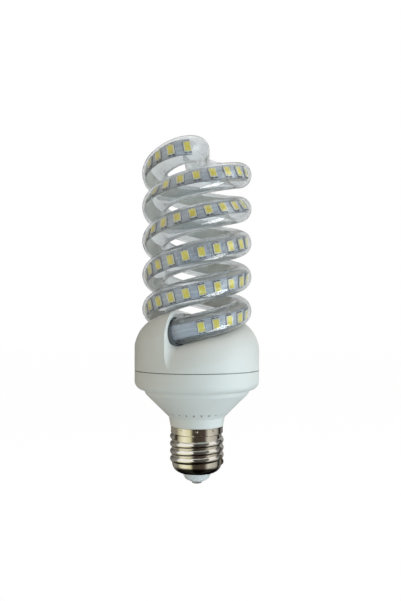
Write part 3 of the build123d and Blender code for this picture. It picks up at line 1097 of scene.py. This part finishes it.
def addSurroundings(values):
    world = bpy.data.worlds.new("whiteRoom")
    world.use_nodes = True
    tree = world.node_tree
    tree.nodes.clear()
    output = tree.nodes.new("ShaderNodeOutputWorld")
    room = tree.nodes.new("ShaderNodeBackground")
    room.inputs["Color"].default_value = colour(values["ambientColour"])
    room.inputs["Strength"].default_value = values["ambient"]
    backdrop = tree.nodes.new("ShaderNodeBackground")
    backdrop.inputs["Color"].default_value = (1, 1, 1, 1)
    backdrop.inputs["Strength"].default_value = values["white"]
    mix = tree.nodes.new("ShaderNodeMixShader")
    tree.links.new(seenDirectly(tree), mix.inputs["Fac"])
    tree.links.new(room.outputs["Background"], mix.inputs[1])
    tree.links.new(backdrop.outputs["Background"], mix.inputs[2])
    tree.links.new(mix.outputs["Shader"], output.inputs["Surface"])
    bpy.context.scene.world = world

    deselectAll()
    bpy.ops.mesh.primitive_plane_add(size=values["floorSize"], location=(0, 0, values["floorHeight"]))
    floor = bpy.context.object
    floor.name = "floor"
    material, tree, shader = newMaterial("paleFloor")
    output = outputOf(tree)
    shader.inputs["Base Color"].default_value = colour(values["floorShade"])
    shader.inputs["Roughness"].default_value = values["floorRoughness"]
    glow = tree.nodes.new("ShaderNodeEmission")
    glow.inputs["Strength"].default_value = values["floorWhite"]
    share = tree.nodes.new("ShaderNodeMath")
    share.operation = "MULTIPLY"
    share.inputs[1].default_value = values["floorGlow"]
    mix = tree.nodes.new("ShaderNodeMixShader")
    tree.links.new(seenDirectly(tree), share.inputs[0])
    tree.links.new(share.outputs[0], mix.inputs["Fac"])
    tree.links.new(shader.outputs["BSDF"], mix.inputs[1])
    tree.links.new(glow.outputs["Emission"], mix.inputs[2])
    tree.links.new(mix.outputs["Shader"], output.inputs["Surface"])
    floor.data.materials.append(material)


addSurroundings(stageValues)


# Soft studio lamps: a cool key on the right, a warm fill on the left, a blue bounce from below, a weak
# one above, and one that shows only as a streak on the glass

lampAim = (0, 0, 0.08)
lampValues = {
    "key": {"place": (0.5, -0.2, 0.17), "size": (0.25, 0.5), "power": 1.45, "colour": (0.9, 0.97, 1.0)},
    "fill": {"place": (-0.45, -0.3, 0.12), "size": (0.3, 0.5), "power": 0.26, "colour": (1.0, 0.9, 0.6)},
    "bounce": {
        "place": (0.16, -0.24, -0.052),
        "size": (0.4, 0.05),
        "power": 0.42,
        "colour": (0.45, 0.78, 1.0),
    },
    "top": {"place": (0.05, -0.05, 0.6), "size": (0.4, 0.4), "power": 0.4, "colour": (1.0, 1.0, 1.0)},
}
streakValues = {
    "place": (0.17, -0.06, -0.05),
    "size": (0.2, 0.1),
    "power": 0.65,
    "colour": (1.0, 1.0, 1.0),
    "turn": -19.0,
}


def addLamp(name, lamp):
    data = bpy.data.lights.new(name + "Lamp", "AREA")
    data.shape = "RECTANGLE"
    data.size, data.size_y = lamp["size"]
    data.energy = lamp["power"]
    data.color = lamp["colour"]
    light = bpy.data.objects.new(name + "Lamp", data)
    light.location = lamp["place"]
    light.rotation_mode = "QUATERNION"
    light.rotation_quaternion = (Vector(lampAim) - Vector(lamp["place"])).to_track_quat("-Z", "Y")
    bpy.context.scene.collection.objects.link(light)
    return light


def addStreak(values):
    # lies low on the right, faces up and lights only the glass
    streak = addLamp("streak", values)
    upward = Quaternion((1, 0, 0), math.pi)
    streak.rotation_quaternion = Quaternion((0, 0, 1), math.radians(values["turn"])) @ upward
    streak.visible_diffuse = False
    streak.visible_transmission = False
    glassOnly = bpy.data.collections.new("glassOnly")
    glassOnly.objects.link(nodes["spiral_tube"])
    streak.light_linking.receiver_collection = glassOnly


for lampName, lamp in lampValues.items():
    addLamp(lampName, lamp).visible_glossy = False
addStreak(streakValues)


# Cards round the lamp, seen only in reflections, so that metal and glass have edges. Their two shades are
# the brightness at the left and at the right, as seen from the lamp.

cardAim = (0, 0, 0.05)
cardValues = {
    "front": {"place": (0.28, -0.85, 0.4), "size": (1.25, 1.4), "shades": (0.14, 0.04)},
    "left": {"place": (-0.55, 0.4, 0.1), "size": (0.9, 1.0), "shades": (0.3, 0.05)},
    "right": {"place": (0.62, 0.24, 0.1), "size": (0.5, 1.0), "shades": (0.02, 0.3)},
    "back": {"place": (0, 1.4, 0.3), "size": (3.0, 3.0), "shades": (0.4, 0.4)},
}


def showInReflections(sheet):
    sheet.visible_camera = False
    sheet.visible_diffuse = False
    sheet.visible_transmission = False
    sheet.visible_shadow = False


def addCards(values):
    for name, card in values.items():
        deselectAll()
        bpy.ops.mesh.primitive_plane_add(size=1, location=(0, 0, 0))
        sheet = bpy.context.object
        sheet.name = name + "Card"
        facing = (Vector(cardAim) - Vector(card["place"])).to_track_quat("Z", "Y")
        turn = facing.to_matrix().to_4x4() @ Matrix.Diagonal((*card["size"], 1, 1))
        turn.translation = card["place"]
        sheet.data.transform(turn)
        material, tree, shader = newMaterial(name + "CardPaper")
        output = outputOf(tree)
        place = tree.nodes.new("ShaderNodeTexCoord")
        parts = tree.nodes.new("ShaderNodeSeparateXYZ")
        spread = tree.nodes.new("ShaderNodeMapRange")
        spread.inputs["To Min"].default_value = card["shades"][0]
        spread.inputs["To Max"].default_value = card["shades"][1]
        glow = tree.nodes.new("ShaderNodeEmission")
        tree.nodes.remove(shader)
        tree.links.new(place.outputs["UV"], parts.inputs["Vector"])
        tree.links.new(parts.outputs["X"], spread.inputs["Value"])
        tree.links.new(spread.outputs["Result"], glow.inputs["Strength"])
        tree.links.new(glow.outputs["Emission"], output.inputs["Surface"])
        sheet.data.materials.append(material)
        showInReflections(sheet)


addCards(cardValues)


# Low sheet round the cap, seen only in reflections. Its bands are counted by azimuth in degrees from the
# front, growing to the right, and it darkens towards the middle.

bandValues = {
    "height": -0.056,
    "size": 2.2,
    "innerRadius": 0.1,
    "outerRadius": 0.17,
    "innerShade": 0.02,
    "bands": (
        (-180, (0.05, 0.045, 0.04)),
        (-125, (0.3, 0.28, 0.25)),
        (-95, (0.25, 0.24, 0.2)),
        (-84, (0.7, 0.68, 0.46)),
        (-60, (1.0, 0.98, 0.8)),
        (-30, (0.8, 0.76, 0.5)),
        (-18, (0.05, 0.04, 0.03)),
        (36, (0.08, 0.06, 0.05)),
        (52, (0.7, 0.69, 0.62)),
        (100, (0.45, 0.44, 0.42)),
        (112, (0.02, 0.02, 0.02)),
        (124, (0.02, 0.02, 0.02)),
        (132, (0.25, 0.24, 0.23)),
        (180, (0.05, 0.045, 0.04)),
    ),
}


def addBands(values):
    deselectAll()
    bpy.ops.mesh.primitive_plane_add(size=values["size"], location=(0, 0, 0))
    sheet = bpy.context.object
    sheet.name = "bandSheet"
    sheet.data.transform(Matrix.Translation((0, 0, values["height"])))
    material, tree, shader = newMaterial("bandPaper")
    output = outputOf(tree)
    tree.nodes.remove(shader)
    place = tree.nodes.new("ShaderNodeTexCoord")
    parts = tree.nodes.new("ShaderNodeSeparateXYZ")
    tree.links.new(place.outputs["Object"], parts.inputs["Vector"])
    turned = tree.nodes.new("ShaderNodeMath")
    turned.operation = "MULTIPLY"
    turned.inputs[1].default_value = -1.0
    tree.links.new(parts.outputs["Y"], turned.inputs[0])
    azimuth = tree.nodes.new("ShaderNodeMath")
    azimuth.operation = "ARCTAN2"
    tree.links.new(parts.outputs["X"], azimuth.inputs[0])
    tree.links.new(turned.outputs["Value"], azimuth.inputs[1])
    share = tree.nodes.new("ShaderNodeMapRange")
    share.inputs["From Min"].default_value = -math.pi
    share.inputs["From Max"].default_value = math.pi
    tree.links.new(azimuth.outputs["Value"], share.inputs["Value"])
    bands = tree.nodes.new("ShaderNodeValToRGB")
    stops = bands.color_ramp.elements
    for angle, shade in values["bands"][1:-1]:
        stops.new(angle / 360 + 0.5).color = colour(shade)
    stops[0].color = colour(values["bands"][0][1])
    stops[-1].color = colour(values["bands"][-1][1])
    tree.links.new(share.outputs["Result"], bands.inputs["Fac"])
    reach = tree.nodes.new("ShaderNodeVectorMath")
    reach.operation = "LENGTH"
    tree.links.new(place.outputs["Object"], reach.inputs[0])
    strength = tree.nodes.new("ShaderNodeMapRange")
    strength.inputs["From Min"].default_value = values["innerRadius"]
    strength.inputs["From Max"].default_value = values["outerRadius"]
    strength.inputs["To Min"].default_value = values["innerShade"]
    tree.links.new(reach.outputs["Value"], strength.inputs["Value"])
    glow = tree.nodes.new("ShaderNodeEmission")
    tree.links.new(bands.outputs["Color"], glow.inputs["Color"])
    tree.links.new(strength.outputs["Result"], glow.inputs["Strength"])
    tree.links.new(glow.outputs["Emission"], output.inputs["Surface"])
    sheet.data.materials.append(material)
    showInReflections(sheet)


addBands(bandValues)
print("camera, lamps and surroundings set")
